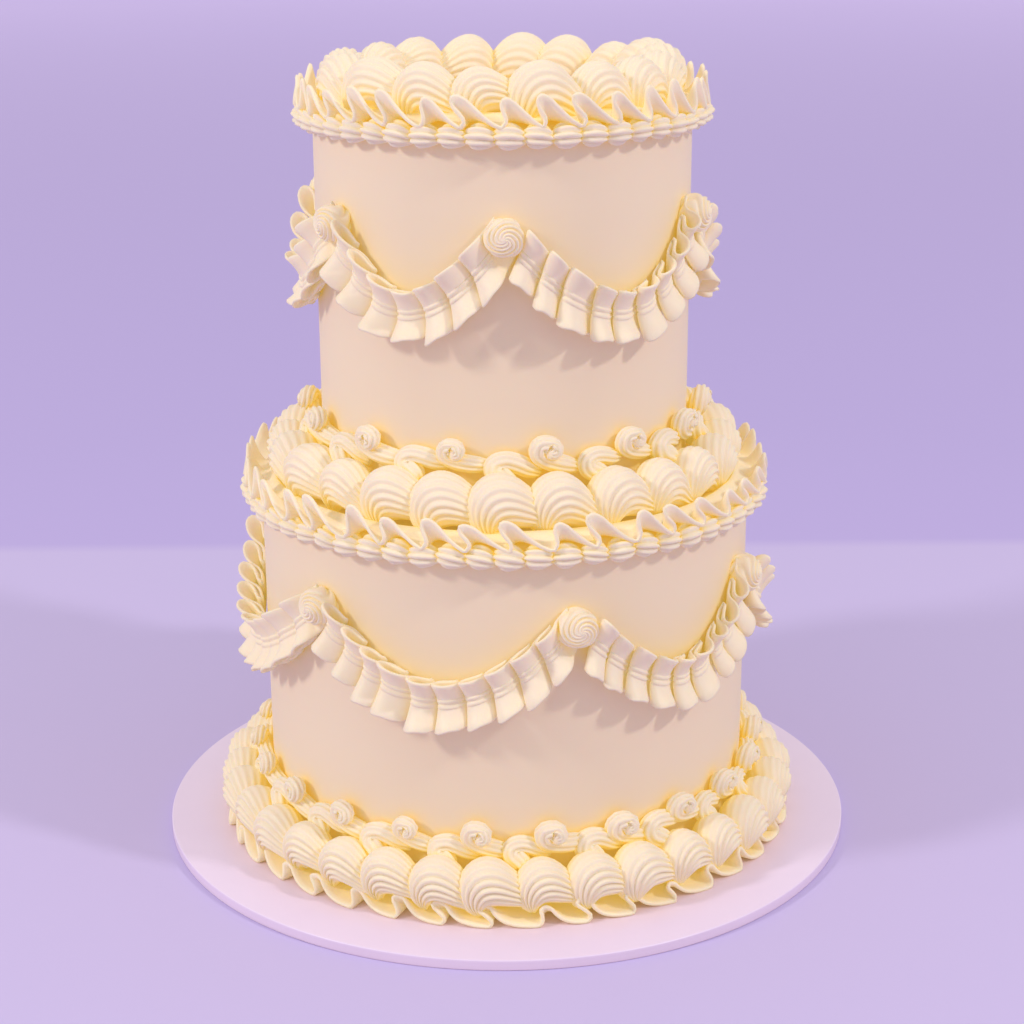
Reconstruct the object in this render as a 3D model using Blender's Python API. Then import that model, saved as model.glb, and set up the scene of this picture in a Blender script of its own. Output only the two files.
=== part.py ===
"""Two-tier cake with piped borders, swags and rosettes, on its round board.

Metres, +Z up. The origin is the centre of the board's underside and -Y is the front.
An angle around the cake is 0 at the front and grows towards +X.
"""

import math

import bmesh
import bpy
from mathutils import Vector

MM = 0.001
TURN = 2 * math.pi
GAP = 0.3 * MM

# Board and tiers
BOARD_RADIUS = 150 * MM
BOARD_THICKNESS = 4.5 * MM
LOWER_RADIUS = 104 * MM
UPPER_RADIUS = 77.4 * MM
LEDGE_HEIGHT = BOARD_THICKNESS + 152.5 * MM
TOP_HEIGHT = LEDGE_HEIGHT + 156 * MM
SLAB_SIDES = 60

# Large swirled shells. Every size but the girth is a share of the girth, which is the half width
# of the piped rope at its fullest. The rope curls clockwise round an eye, then runs off to the
# right as a tail. Keys are (share of the rope's length, value).
SHELL_TURN_START = math.radians(238)
SHELL_TURN_END = math.radians(58)
SHELL_ARC_SHARE = 0.66
SHELL_PATH = 0.5
SHELL_TAIL = 1.6
SHELL_GIRTH = ((0.0, 0.4), (0.3, 0.95), (0.5, 1.05), (0.7, 0.9), (0.86, 0.6), (1.0, 0.3))
SHELL_DEPTH = ((0.0, -0.3), (0.3, 0.0), (0.75, 0.0), (1.0, -0.3))
SHELL_EYE = (0.05, -0.62, -0.3)
SHELL_TIP_DEPTH = -0.3
SHELL_EYE_REACH = 0.9
SHELL_TAIL_REACH = 0.6
SHELL_STATIONS = (0.06, 0.24, 0.42, 0.6, 0.8)
SHELL_SECTION = [math.radians(turn) for turn in (100, 30, -50, -130, 170)]

# Each shell row: the sloping plane of a shell is "slope" above level, and its foot keeps above
# a line that starts at "foot_radius" on the floor and climbs outwards at "foot_slope"
BASE_SHELLS = {
    "count": 35,
    "first": math.radians(-3.8),
    "girth": 9.9 * MM,
    "radius": LOWER_RADIUS + 13.2 * MM,
    "floor": BOARD_THICKNESS,
    "rise": 12.8 * MM,
    "slope": math.radians(54),
    "wall": LOWER_RADIUS,
    "foot_radius": LOWER_RADIUS - 1.5 * MM,
    "foot_slope": math.radians(26),
}
LEDGE_SHELLS = {
    "count": 25,
    "first": math.radians(-1.2),
    "girth": 10.8 * MM,
    "radius": UPPER_RADIUS + 14.4 * MM,
    "floor": LEDGE_HEIGHT,
    "rise": 10.8 * MM,
    "slope": math.radians(56),
    "wall": UPPER_RADIUS,
    "foot_radius": LOWER_RADIUS - 6.5 * MM,
    "foot_slope": math.radians(65),
}
TOP_SHELLS = {
    "count": 18,
    "first": math.radians(-7.1),
    "girth": 10.5 * MM,
    "radius": UPPER_RADIUS - 11.2 * MM,
    "floor": TOP_HEIGHT,
    "rise": 8.4 * MM,
    "slope": math.radians(52),
    "wall": 0.0,
    "foot_radius": UPPER_RADIUS - 5.5 * MM,
    "foot_slope": math.radians(65),
}

# Small scrolls whose heads curl up and down in turn. Sections are
# (share of the pitch, girth, height, stand), the last three as shares of the girth or the lean
SCROLL_SECTIONS = ((0.1, 1.0, 0.9, 0.1), (0.6, 0.6, -0.1, -0.3))
SCROLL_STAND = 1.35
BASE_SCROLLS = {
    "count": 46,
    "first": math.radians(-6.4),
    "girth": 3.9 * MM,
    "wall": LOWER_RADIUS,
    "height": BOARD_THICKNESS + 34 * MM,
    "lean": 3.6 * MM,
}
LEDGE_SCROLLS = {
    "count": 28,
    "first": math.radians(-14.8),
    "girth": 4.4 * MM,
    "wall": UPPER_RADIUS,
    "height": LEDGE_HEIGHT + 32 * MM,
    "lean": 3.8 * MM,
}

# Chains of small shells on the edge of each tier: (share of the pitch, swell)
BEAD_SECTIONS = ((0.0, 1.0), (0.62, 0.7))
LEDGE_BEADS = {
    "count": 61,
    "first": math.radians(1.3),
    "wall": LOWER_RADIUS,
    "height": LEDGE_HEIGHT - 4.6 * MM,
    "half_height": 4.9 * MM,
    "depth": 8.6 * MM,
}
TOP_BEADS = {
    "count": 47,
    "first": math.radians(-5.2),
    "wall": UPPER_RADIUS,
    "height": TOP_HEIGHT - 4.6 * MM,
    "half_height": 4.8 * MM,
    "depth": 8.6 * MM,
}

# Petal ruffles: where each section sits along a wave, where its free edge leans to, how high it is
WAVE_SECTIONS = ((0.0, 0.0, 0.0), (0.3, 0.1, 1.0), (0.62, 0.48, 0.88))
BASE_RUFFLE = {
    "count": 40,
    "first": math.radians(-3.1),
    "inner": LOWER_RADIUS + 5 * MM,
    "lip": 2.5 * MM,
    "rim": 3.9 * MM,
    "floor": BOARD_THICKNESS,
    "trough": LOWER_RADIUS + 19 * MM,
    "crest": LOWER_RADIUS + 17.5 * MM,
    "low": BOARD_THICKNESS + 0.8 * MM,
    "high": BOARD_THICKNESS + 9 * MM,
}
LEDGE_RUFFLE = {
    "count": 41,
    "first": math.radians(1.0),
    "inner": LOWER_RADIUS - 5 * MM,
    "lip": 1.5 * MM,
    "rim": 5 * MM,
    "floor": LEDGE_HEIGHT,
    "trough": LOWER_RADIUS + 6.5 * MM,
    "crest": LOWER_RADIUS + 2.5 * MM,
    "low": LEDGE_HEIGHT + 2.0 * MM,
    "high": LEDGE_HEIGHT + 12.5 * MM,
}
TOP_RUFFLE = {
    "count": 34,
    "first": math.radians(0.0),
    "inner": UPPER_RADIUS - 4 * MM,
    "lip": 1.5 * MM,
    "rim": 5 * MM,
    "floor": TOP_HEIGHT,
    "trough": UPPER_RADIUS + 5.5 * MM,
    "crest": UPPER_RADIUS + 2.5 * MM,
    "low": TOP_HEIGHT + 2.0 * MM,
    "high": TOP_HEIGHT + 12 * MM,
}

# Pleated swags between rosettes. A pleat is (share of the pleat, its stand from the wall, width)
SWAG_WIDTH = 22 * MM
PLEAT_FRONT = 10.0 * MM
PLEAT_BACK = 5.2 * MM
PLEAT_SECTIONS = ((0.04, PLEAT_FRONT, 1.0), (0.62, PLEAT_FRONT, 1.0), (0.83, PLEAT_BACK, 0.86))
PLEAT_LEAN = 0.45
PINCH = 0.45
SWAG_CURVE = 1.9
SWAG_STEPS = 120
SWAG_START = 7.6 * MM
LOWER_GARLAND = {
    "radius": LOWER_RADIUS,
    "peaks": (-43.6, 14.8, 66.7, 129.2, 191.6, 254.0),
    "peak": BOARD_THICKNESS + 120 * MM,
    "drop": 31.5 * MM,
    "pleat": 12.4 * MM,
}
UPPER_GARLAND = {
    "radius": UPPER_RADIUS,
    "peaks": (-54.5, 0.5, 69.6, 128.6, 187.6, 246.6),
    "peak": BOARD_THICKNESS + 268 * MM,
    "drop": 32.5 * MM,
    "pleat": 12.4 * MM,
}

# Rosettes: (size, rise, twist in radians) of each ring from the wall out
ROSETTE_RADIUS = 9.2 * MM
ROSETTE_DEPTH = 12.5 * MM
ROSETTE_SIDES = 8
ROSETTE_GROOVE = 0.86
ROSETTE_LIFT = 1 * MM
ROSETTE_RINGS = ((0.92, 0.0, 0.0), (1.0, 0.35, 0.35), (0.66, 0.82, 0.9))

ICING = (0.93, 0.83, 0.66, 1.0)
PIPING = (0.96, 0.87, 0.70, 1.0)
BOARD_WHITE = (0.86, 0.80, 0.84, 1.0)


def clear_scene():
    for obj in list(bpy.data.objects):
        bpy.data.objects.remove(obj, do_unlink=True)


def material(name, colour, roughness):
    made = bpy.data.materials.new(name)
    made.use_nodes = True
    surface = made.node_tree.nodes["Principled BSDF"]
    surface.inputs["Base Color"].default_value = colour
    surface.inputs["Roughness"].default_value = roughness
    surface.inputs["Metallic"].default_value = 0.0
    made.diffuse_color = colour
    return made


def polar(angle, radius, height):
    return Vector((radius * math.sin(angle), -radius * math.cos(angle), height))


def between(keys, share):
    """The value at share, on a smooth line through (share, value) keys."""
    for (start, low), (end, high) in zip(keys, keys[1:]):
        if share <= end:
            step = max(0.0, (share - start) / (end - start))
            return low + (high - low) * step * step * (3 - 2 * step)
    return keys[-1][1]


def loft(name, rings, surface, target, first=None, last=None):
    """A skin over rings of points: closed into a loop, or ended at the points first and last."""
    bm = bmesh.new()
    rows = [[bm.verts.new(point) for point in ring] for ring in rings]
    sides = len(rows[0])
    pairs = list(zip(rows, rows[1:]))
    if first is None:
        pairs.append((rows[-1], rows[0]))
    for here, there in pairs:
        for k in range(sides):
            after = (k + 1) % sides
            bm.faces.new((here[k], here[after], there[after], there[k]))
    if first is not None:
        for row, tip in ((rows[0], first), (rows[-1], last)):
            pole = bm.verts.new(tip)
            for k in range(sides):
                bm.faces.new((row[k], row[(k + 1) % sides], pole))
    bmesh.ops.recalc_face_normals(bm, faces=bm.faces)
    mesh = bpy.data.meshes.new(name)
    bm.to_mesh(mesh)
    bm.free()
    mesh.shade_smooth()
    mesh.set_sharp_from_angle(angle=math.radians(40))
    mesh.materials.append(surface)
    obj = bpy.data.objects.new(name, mesh)
    target.objects.link(obj)
    return obj


def fuse(name, pieces, helpers, target):
    """One solid from pieces that overlap, by a single Boolean union on their collection."""
    body = pieces[0]
    helpers.objects.unlink(body)
    target.objects.link(body)
    union = body.modifiers.new("union", "BOOLEAN")
    union.operation = "UNION"
    union.operand_type = "COLLECTION"
    union.collection = helpers
    union.solver = "MANIFOLD"
    graph = bpy.context.evaluated_depsgraph_get()
    joined = bpy.data.meshes.new_from_object(body.evaluated_get(graph))
    body.modifiers.clear()
    body.data = joined
    joined.name = name
    body.name = name
    for piece in pieces[1:]:
        bpy.data.objects.remove(piece, do_unlink=True)
    return body


def slab(name, radius, bottom, top, surface, target):
    """A round slab standing between two heights."""
    bpy.ops.mesh.primitive_cylinder_add(
        vertices=SLAB_SIDES, radius=radius, depth=top - bottom, location=(0, 0, (bottom + top) / 2)
    )
    obj = bpy.context.active_object
    obj.name = name
    obj.data.name = name
    for held in list(obj.users_collection):
        held.objects.unlink(obj)
    target.objects.link(obj)
    obj.data.shade_smooth()
    obj.data.set_sharp_from_angle(angle=math.radians(35))
    obj.data.materials.append(surface)
    return obj


def shell_place(share, girth):
    """Centre, outward direction and inner reach of a shell's section, in its own plane."""
    turned = min(share / SHELL_ARC_SHARE, 1.0)
    turn = SHELL_TURN_START + (SHELL_TURN_END - SHELL_TURN_START) * turned
    outward = (math.cos(turn), math.sin(turn))
    beyond = max(0.0, share - SHELL_ARC_SHARE) / (1 - SHELL_ARC_SHARE) * SHELL_TAIL * girth
    path = SHELL_PATH * girth
    centre = (
        path * outward[0] + beyond * outward[1],
        path * outward[1] - beyond * outward[0],
    )
    return centre, outward, SHELL_EYE_REACH * path + SHELL_TAIL_REACH * beyond


def settled(row, radius, height):
    """The point moved off the ruffle beside the row, the wall behind it and the floor under it."""
    rise = math.tan(row["foot_slope"])
    sunk = (radius - row["foot_radius"]) * rise - (height - row["floor"])
    if sunk > 0:
        radius -= sunk * rise / (1 + rise * rise)
        height += sunk / (1 + rise * rise)
    return max(radius, row["wall"] + GAP), max(height, row["floor"] + GAP)


def shell(name, angle, row, surface, target):
    """One swirled shell: a grooved rope that curls round its eye, then tails off to the right."""
    girth, slope = row["girth"], row["slope"]

    def placed(across, up, out):
        radius = row["radius"] + out * math.sin(slope) - up * math.cos(slope)
        height = row["floor"] + row["rise"] + up * math.sin(slope) + out * math.cos(slope)
        return polar(angle + across / row["radius"], *settled(row, radius, height))

    rings = []
    for share in SHELL_STATIONS:
        centre, outward, inner = shell_place(share, girth)
        depth = girth * between(SHELL_DEPTH, share)
        reach = girth * between(SHELL_GIRTH, share)
        ring = []
        for turn in SHELL_SECTION:
            n = reach * math.cos(turn)
            if n < 0:
                n = -inner * (1 - math.exp(n / inner))
            out = depth + reach * math.sin(turn)
            ring.append(placed(centre[0] + n * outward[0], centre[1] + n * outward[1], out))
        rings.append(ring)
    start = placed(*(share * girth for share in SHELL_EYE))
    centre = shell_place(1.0, girth)[0]
    end = placed(centre[0], centre[1], SHELL_TIP_DEPTH * girth)
    return loft(name, rings, surface, target, start, end)


def shell_row(name, row, surface, helpers, target):
    pieces = []
    for k in range(row["count"]):
        angle = row["first"] + TURN * k / row["count"]
        pieces.append(shell(f"{name}_{k}", angle, row, surface, helpers))
    return fuse(name, pieces, helpers, target)


def scroll_row(name, row, surface, target):
    """A rope of small scrolls whose heads curl up and down in turn, each tail under the next head."""
    girth = row["girth"]
    rings = []
    for k in range(row["count"]):
        way = 1 if k % 2 == 0 else -1
        for share, size, rise, stand in SCROLL_SECTIONS:
            angle = row["first"] + TURN * (k + share) / row["count"]
            radius = row["wall"] + GAP + girth * (SCROLL_STAND + stand)
            height = row["height"] + way * rise * row["lean"]
            rings.append(
                [
                    polar(angle, radius + n * size * girth, height + w * size * girth)
                    for n, w in ((1.0, 0.0), (0.0, 1.0), (-1.0, 0.0), (0.0, -1.0))
                ]
            )
    return loft(name, rings, surface, target)


def bead_row(name, row, surface, target):
    """A chain of small shells along the edge of a tier, made as one ring that swells and narrows."""
    rings = []
    for k in range(row["count"]):
        angle = row["first"] + TURN * k / row["count"]
        for share, swell in BEAD_SECTIONS:
            at = angle + share * TURN / row["count"]
            half = row["half_height"] * swell
            foot = row["wall"] + GAP
            rings.append(
                [
                    polar(at, foot, row["height"] + half),
                    polar(at, foot + row["depth"] * swell, row["height"]),
                    polar(at, foot, row["height"] - half),
                ]
            )
    return loft(name, rings, surface, target)


def ruffle(name, row, surface, target):
    """A petal ruffle laid in a ring: a thick inner edge, and a thin free edge that folds over."""
    pitch = TURN / row["count"]
    rings = []
    for k in range(row["count"]):
        for share, shift, rise in WAVE_SECTIONS:
            base = row["first"] + pitch * (k + share)
            edge = row["first"] + pitch * (k + shift)
            reach = row["trough"] + (row["crest"] - row["trough"]) * rise
            height = row["low"] + (row["high"] - row["low"]) * rise
            rings.append(
                [
                    polar(base, row["inner"], row["floor"] + GAP),
                    polar(edge, reach, height),
                    polar(base, row["inner"] + row["lip"], row["floor"] + row["rim"]),
                ]
            )
    return loft(name, rings, surface, target)


def swag_line(start, end, tier):
    """Points down one swag's middle: (distance around the tier, height, length so far)."""
    line = [(0.0, tier["peak"], 0.0)]
    for k in range(1, SWAG_STEPS + 1):
        share = k / SWAG_STEPS
        around = (end - start) * share * tier["radius"]
        height = tier["peak"] - tier["drop"] * (1 - abs(2 * share - 1) ** SWAG_CURVE)
        length = line[-1][2] + math.dist(line[-1][:2], (around, height))
        line.append((around, height, length))
    return line


def swag(name, start, end, tier, surface, target):
    """One pleated ribbon that hangs between two rosettes, pinched along its middle."""
    wall = tier["radius"]
    line = swag_line(start, end, tier)
    first = next(length for around, _, length in line if around > SWAG_START)
    last = line[-1][2] - first
    pleats = round((last - first) / tier["pleat"])
    rings = []
    for k in range(pleats):
        for part, stand, width in PLEAT_SECTIONS:
            wanted = first + (last - first) * (k + part) / pleats
            at = next(j for j in range(1, len(line)) if line[j][2] >= wanted)
            around, height, _ = line[at]
            lean = PLEAT_LEAN * math.atan2(height - line[at - 1][1], around - line[at - 1][0])
            half = SWAG_WIDTH / 2 * width
            ring = []
            for up, lift in ((1, stand), (0, PINCH * stand), (-1, stand), (0, 0)):
                angle = start + (around - up * half * math.sin(lean)) / wall
                ring.append(polar(angle, wall + GAP + lift, height + up * half * math.cos(lean)))
            rings.append(ring)
    ends = [sum(ring, Vector()) / len(ring) for ring in (rings[0], rings[-1])]
    return loft(name, rings, surface, target, *ends)


def rosette(name, angle, height, wall, surface, target):
    """A small swirl of icing where two swags meet: a dome with a spiral of ridges."""
    rings = []
    for size, rise, twist in ROSETTE_RINGS:
        ring = []
        for k in range(ROSETTE_SIDES):
            reach = ROSETTE_RADIUS * size * (1.0 if k % 2 == 0 else ROSETTE_GROOVE)
            turn = TURN * k / ROSETTE_SIDES + twist
            ring.append(
                polar(
                    angle + reach * math.cos(turn) / wall,
                    wall + GAP + ROSETTE_DEPTH * rise,
                    height + reach * math.sin(turn),
                )
            )
        rings.append(ring)
    back = polar(angle, wall + GAP, height)
    front = polar(angle, wall + GAP + ROSETTE_DEPTH, height)
    return loft(name, rings, surface, target, back, front)


def garland(prefix, tier, surface, target):
    """The rosettes of one tier and the swags between them."""
    peaks = [math.radians(peak) for peak in tier["peaks"]]
    height = tier["peak"] + ROSETTE_LIFT
    for k, (angle, after) in enumerate(zip(peaks, peaks[1:] + [peaks[0] + TURN])):
        rosette(f"{prefix}_rosette_{k + 1}", angle, height, tier["radius"], surface, target)
        swag(f"{prefix}_swag_{k + 1}", angle, after, tier, surface, target)


def main():
    clear_scene()
    cake = bpy.data.collections.new("tiered_cake")
    helpers = bpy.data.collections.new("helpers")
    bpy.context.scene.collection.children.link(cake)
    bpy.context.scene.collection.children.link(helpers)
    icing = material("smooth_icing", ICING, 0.5)
    piping = material("piped_icing", PIPING, 0.45)
    white = material("board", BOARD_WHITE, 0.35)

    slab("cake_board", BOARD_RADIUS, 0, BOARD_THICKNESS, white, cake)
    slab("lower_tier", LOWER_RADIUS, BOARD_THICKNESS + GAP, LEDGE_HEIGHT, icing, cake)
    slab("upper_tier", UPPER_RADIUS, LEDGE_HEIGHT + GAP, TOP_HEIGHT, icing, cake)

    shell_row("base_shells", BASE_SHELLS, piping, helpers, cake)
    shell_row("ledge_shells", LEDGE_SHELLS, piping, helpers, cake)
    shell_row("top_shells", TOP_SHELLS, piping, helpers, cake)
    scroll_row("base_scrolls", BASE_SCROLLS, piping, cake)
    scroll_row("ledge_scrolls", LEDGE_SCROLLS, piping, cake)
    bead_row("ledge_beads", LEDGE_BEADS, piping, cake)
    bead_row("top_beads", TOP_BEADS, piping, cake)
    ruffle("base_ruffle", BASE_RUFFLE, piping, cake)
    ruffle("ledge_ruffle", LEDGE_RUFFLE, piping, cake)
    ruffle("top_ruffle", TOP_RUFFLE, piping, cake)
    garland("lower", LOWER_GARLAND, piping, cake)
    garland("upper", UPPER_GARLAND, piping, cake)


main()
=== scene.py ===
import math

import bpy
import numpy as np
from mathutils import Matrix, Vector


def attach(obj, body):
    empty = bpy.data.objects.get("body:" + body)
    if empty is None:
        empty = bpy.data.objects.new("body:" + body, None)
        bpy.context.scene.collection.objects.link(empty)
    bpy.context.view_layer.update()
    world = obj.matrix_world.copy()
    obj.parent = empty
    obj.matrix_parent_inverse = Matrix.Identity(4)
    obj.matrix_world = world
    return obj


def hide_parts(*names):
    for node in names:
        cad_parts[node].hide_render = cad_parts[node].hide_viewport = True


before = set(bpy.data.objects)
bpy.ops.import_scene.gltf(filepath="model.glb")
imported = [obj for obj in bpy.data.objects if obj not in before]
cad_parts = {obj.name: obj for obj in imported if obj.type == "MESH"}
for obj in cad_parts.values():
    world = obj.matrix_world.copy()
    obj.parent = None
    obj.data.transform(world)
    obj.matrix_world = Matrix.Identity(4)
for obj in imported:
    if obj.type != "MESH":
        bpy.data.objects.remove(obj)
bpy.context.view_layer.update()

# Dressed two-tier cake: piped icing is swept rope with pressed ridges, ruffles and swags are thin
# folded ribbons. Metres, +Z up, an angle round the cake is 0 at the front and grows towards +X.

mm = 0.001
fullTurn = 2 * math.pi
dice = np.random.default_rng(41)  # every draw comes from here, in the order of the script


# Mesh helpers

def polar(angle, radius, height):
    angle, radius, height = np.broadcast_arrays(angle, radius, height)
    return np.stack((radius * np.sin(angle), -radius * np.cos(angle), height), axis=-1)


def follow(keys, shares):
    # smooth line through keys, each a share and then its values; one column for each value
    keys = np.array(keys, float)
    at, values = keys[:, 0], keys[:, 1:]
    slopes = np.gradient(values, at, axis=0)
    shares = np.clip(shares, at[0], at[-1])
    k = np.clip(np.searchsorted(at, shares, side="right") - 1, 0, len(at) - 2)
    span = (at[k + 1] - at[k])[:, None]
    t = (shares - at[k])[:, None] / span
    rise = t * t * (3 - 2 * t)
    return (
        values[k] * (1 - rise)
        + values[k + 1] * rise
        + slopes[k] * span * t * (1 - t) ** 2
        - slopes[k + 1] * span * t * t * (1 - t)
    ).T


def unit(vectors):
    return vectors / np.maximum(np.linalg.norm(vectors, axis=-1, keepdims=True), 1e-9)


class Batch:
    # gathers the tubes and rings of one joined mesh, with a groove mark on every point: up to 1
    # in a groove, where the material paints golden shade, down to -1 on a thin sheet, where it paints a
    # glow of light coming through

    def __init__(self, name):
        self.name = name
        self.points, self.marks, self.quads, self.corners = [], [], [], []
        self.count = 0

    def keep(self, points, marks):
        start = self.count
        self.points.append(points.reshape(-1, 3))
        self.marks.append(np.broadcast_to(marks, points.shape[:-1]).reshape(-1))
        self.count += self.points[-1].shape[0]
        return start

    def tube(self, points, marks=0.0, ring=False):
        # rows of points, each row a closed section; ring joins the last row to the first
        rows, sides = points.shape[:2]
        index = self.keep(points, marks) + np.arange(rows * sides).reshape(rows, sides)
        after = np.roll(index, -1, axis=1)
        here, there = (index, np.roll(index, -1, axis=0)) if ring else (index[:-1], index[1:])
        nextHere, nextThere = (after, np.roll(after, -1, axis=0)) if ring else (after[:-1], after[1:])
        self.quads.append(np.stack((here, nextHere, nextThere, there), axis=-1).reshape(-1, 4))
        if ring:
            return
        for row, flip in ((0, True), (rows - 1, False)):
            pole = self.keep(points[row].mean(axis=0)[None], np.array([0.0]))
            fan = np.stack((index[row], after[row], np.full(sides, pole)), axis=-1)
            self.corners.append(fan[:, ::-1] if flip else fan)

    def finish(self, material, slot, nodes):
        mesh = bpy.data.meshes.new(self.name)
        points = np.concatenate(self.points)
        quads = np.concatenate(self.quads)
        corners = np.concatenate(self.corners) if self.corners else np.zeros((0, 3), int)
        mesh.vertices.add(len(points))
        mesh.vertices.foreach_set("co", points.ravel().astype(np.float32))
        loops = np.concatenate((quads.ravel(), corners.ravel()))
        starts = np.concatenate(
            (np.arange(len(quads)) * 4, len(quads) * 4 + np.arange(len(corners)) * 3)
        )
        mesh.loops.add(len(loops))
        mesh.loops.foreach_set("vertex_index", loops.astype(np.int32))
        mesh.polygons.add(len(starts))
        mesh.polygons.foreach_set("loop_start", starts.astype(np.int32))
        mesh.update(calc_edges=True)
        mesh.validate()
        groove = mesh.attributes.new("groove", "FLOAT", "POINT")
        groove.data.foreach_set("value", np.concatenate(self.marks).astype(np.float32))
        mesh.shade_smooth()
        mesh.materials.append(material)
        piece = bpy.data.objects.new(self.name, mesh)
        bpy.context.scene.collection.objects.link(piece)
        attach(piece, "root")
        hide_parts(*nodes)
        print(self.name, 2 * len(quads) + len(corners), "triangles")
        return piece


def pipe(batch, path, reach, place, teeth, groove, steps=4, flat=1.0):
    # a ridged rope of icing: path and reach in millimetres, across, up and out from its seat
    path = np.asarray(path, float)
    along = unit(np.gradient(path, axis=0))
    left = unit(np.cross((0.0, 0.0, 1.0), along))
    top = np.cross(along, left)
    turn = fullTurn * np.arange(teeth * steps) / (teeth * steps)
    press = 1 - np.abs(np.cos(teeth * turn / 2))  # 0 on a ridge and 1 in a groove
    size = reach[:, None] - np.minimum(groove, 0.3 * reach)[:, None] * press[None, :]
    side, lift = size * np.cos(turn), size * np.sin(turn) * flat
    points = path[:, None] + side[..., None] * left[:, None] + lift[..., None] * top[:, None]
    batch.tube(place(points * mm), press[None, :])


def curl(batch, inner, outer, out, thick, place, teeth, groove, steps, calm):
    # a ridged rope between two curves, so its ridges nest round the inner one; calm is how far
    # the grooves fade towards the outer one
    turn = fullTurn * np.arange(teeth * steps) / (teeth * steps)
    press = 1 - np.abs(np.cos(teeth * turn / 2))
    away = np.clip((0.5 - 0.5 * np.cos(turn) - 0.1) / 0.42, 0, 1)
    fade = 1 - away * away * (3 - 2 * away)
    share = 1 - calm[:, None] * fade[None, :]
    middle = (outer + inner) / 2
    half = np.linalg.norm(outer - inner, axis=1) / 2
    depth = np.minimum(groove, 0.3 * half)[:, None] * press * share / half[:, None]
    side, lift = (1 - depth) * np.cos(turn), (1 - depth) * np.sin(turn)
    full = (1 - depth) * np.abs(np.sin(turn)) ** 0.6
    lift = np.where((side < 0) & (lift > 0), full, lift)
    spot = middle[:, None] + side[..., None] * (outer - middle)[:, None]
    rise = out[:, None] + lift * thick[:, None]
    batch.tube(place(np.concatenate((spot, rise[..., None]), axis=-1) * mm), press * share)


def ribbon(batch, middle, thickness, marks=0.0, ring=False):
    # a thin sheet with rounded rims, from the points of its middle surface
    if ring:
        wide = np.concatenate((middle[-1:], middle, middle[:1]))
        along = np.gradient(wide, axis=0)[1:-1]
    else:
        along = np.gradient(middle, axis=0)
    across = np.gradient(middle, axis=1)
    normal = unit(np.cross(along, across)) * thickness / 2
    low, high = unit(-across[:, :1]) * thickness / 2, unit(across[:, -1:]) * thickness / 2
    marks = np.broadcast_to(marks, middle.shape[:2])
    skin = np.concatenate(
        (
            middle + normal,
            middle[:, -1:] + high,
            (middle - normal)[:, ::-1],
            middle[:, :1] + low,
        ),
        axis=1,
    )
    tint = np.concatenate((marks, marks[:, -1:], marks[:, ::-1], marks[:, :1]), axis=1)
    batch.tube(skin, tint, ring)


def bent(start, towards, end, share):
    # a curve from start to end, drawn towards a point between them
    return (1 - share) ** 2 * start + 2 * share * (1 - share) * towards + share**2 * end


def rolled(x, y, turn):
    return x * math.cos(turn) - y * math.sin(turn), x * math.sin(turn) + y * math.cos(turn)


# Shader helpers

def tone(red, green, blue):
    # screen colour, 0 to 255, as the linear colour that a shader takes
    return tuple(
        (c / 255 / 12.92 if c / 255 <= 0.04045 else ((c / 255 + 0.055) / 1.055) ** 2.4)
        for c in (red, green, blue)
    ) + (1.0,)


class Wire:
    # one output socket; sums on it add Math nodes

    def __init__(self, tree, socket=None):
        self.tree = tree
        self.socket = socket

    def add(self, kind, settings=None, sockets=None, output=0):
        node = self.tree.nodes.new(kind)
        for name, value in (settings or {}).items():
            if name == "stops":
                ramp = node.color_ramp.elements
                while len(ramp) < len(value):
                    ramp.new(0.5)
                for stop, (position, colour) in zip(ramp, value):
                    stop.position = position
                    stop.color = colour
            else:
                setattr(node, name, value)
        for name, value in (sockets or {}).items():
            if isinstance(value, Wire):
                self.tree.links.new(value.socket, node.inputs[name])
            else:
                node.inputs[name].default_value = value
        return Wire(self.tree, node.outputs[output])

    def sum(self, operation, first, second=0.0, clamp=False):
        settings = {"operation": operation, "use_clamp": clamp}
        return self.add("ShaderNodeMath", settings, {0: first, 1: second})

    def __add__(self, other):
        return self.sum("ADD", self, other)

    def __radd__(self, other):
        return self.sum("ADD", other, self)

    def __sub__(self, other):
        return self.sum("SUBTRACT", self, other)

    def __rsub__(self, other):
        return self.sum("SUBTRACT", other, self)

    def __mul__(self, other):
        return self.sum("MULTIPLY", self, other)

    def __rmul__(self, other):
        return self.sum("MULTIPLY", other, self)

    def __pow__(self, other):
        return self.sum("POWER", self, other)

    def clamped(self):
        return self.sum("ADD", self, 0.0, clamp=True)

    def mix(self, first, second):
        # blends two colours by this value
        settings = {"data_type": "RGBA", "clamp_factor": True}
        return self.add("ShaderNodeMix", settings, {0: self, 6: first, 7: second}, output=2)


def newMaterial(name, finish):
    # a Principled shader with constant sockets from finish; returns its tree and the shader
    made = bpy.data.materials.new(name)
    made.use_nodes = True
    shader = made.node_tree.nodes["Principled BSDF"]
    for socket, value in finish.items():
        shader.inputs[socket].default_value = value
    return made, Wire(made.node_tree), shader


def connect(wire, socket):
    wire.tree.links.new(wire.socket, socket)


# Icing

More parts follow.
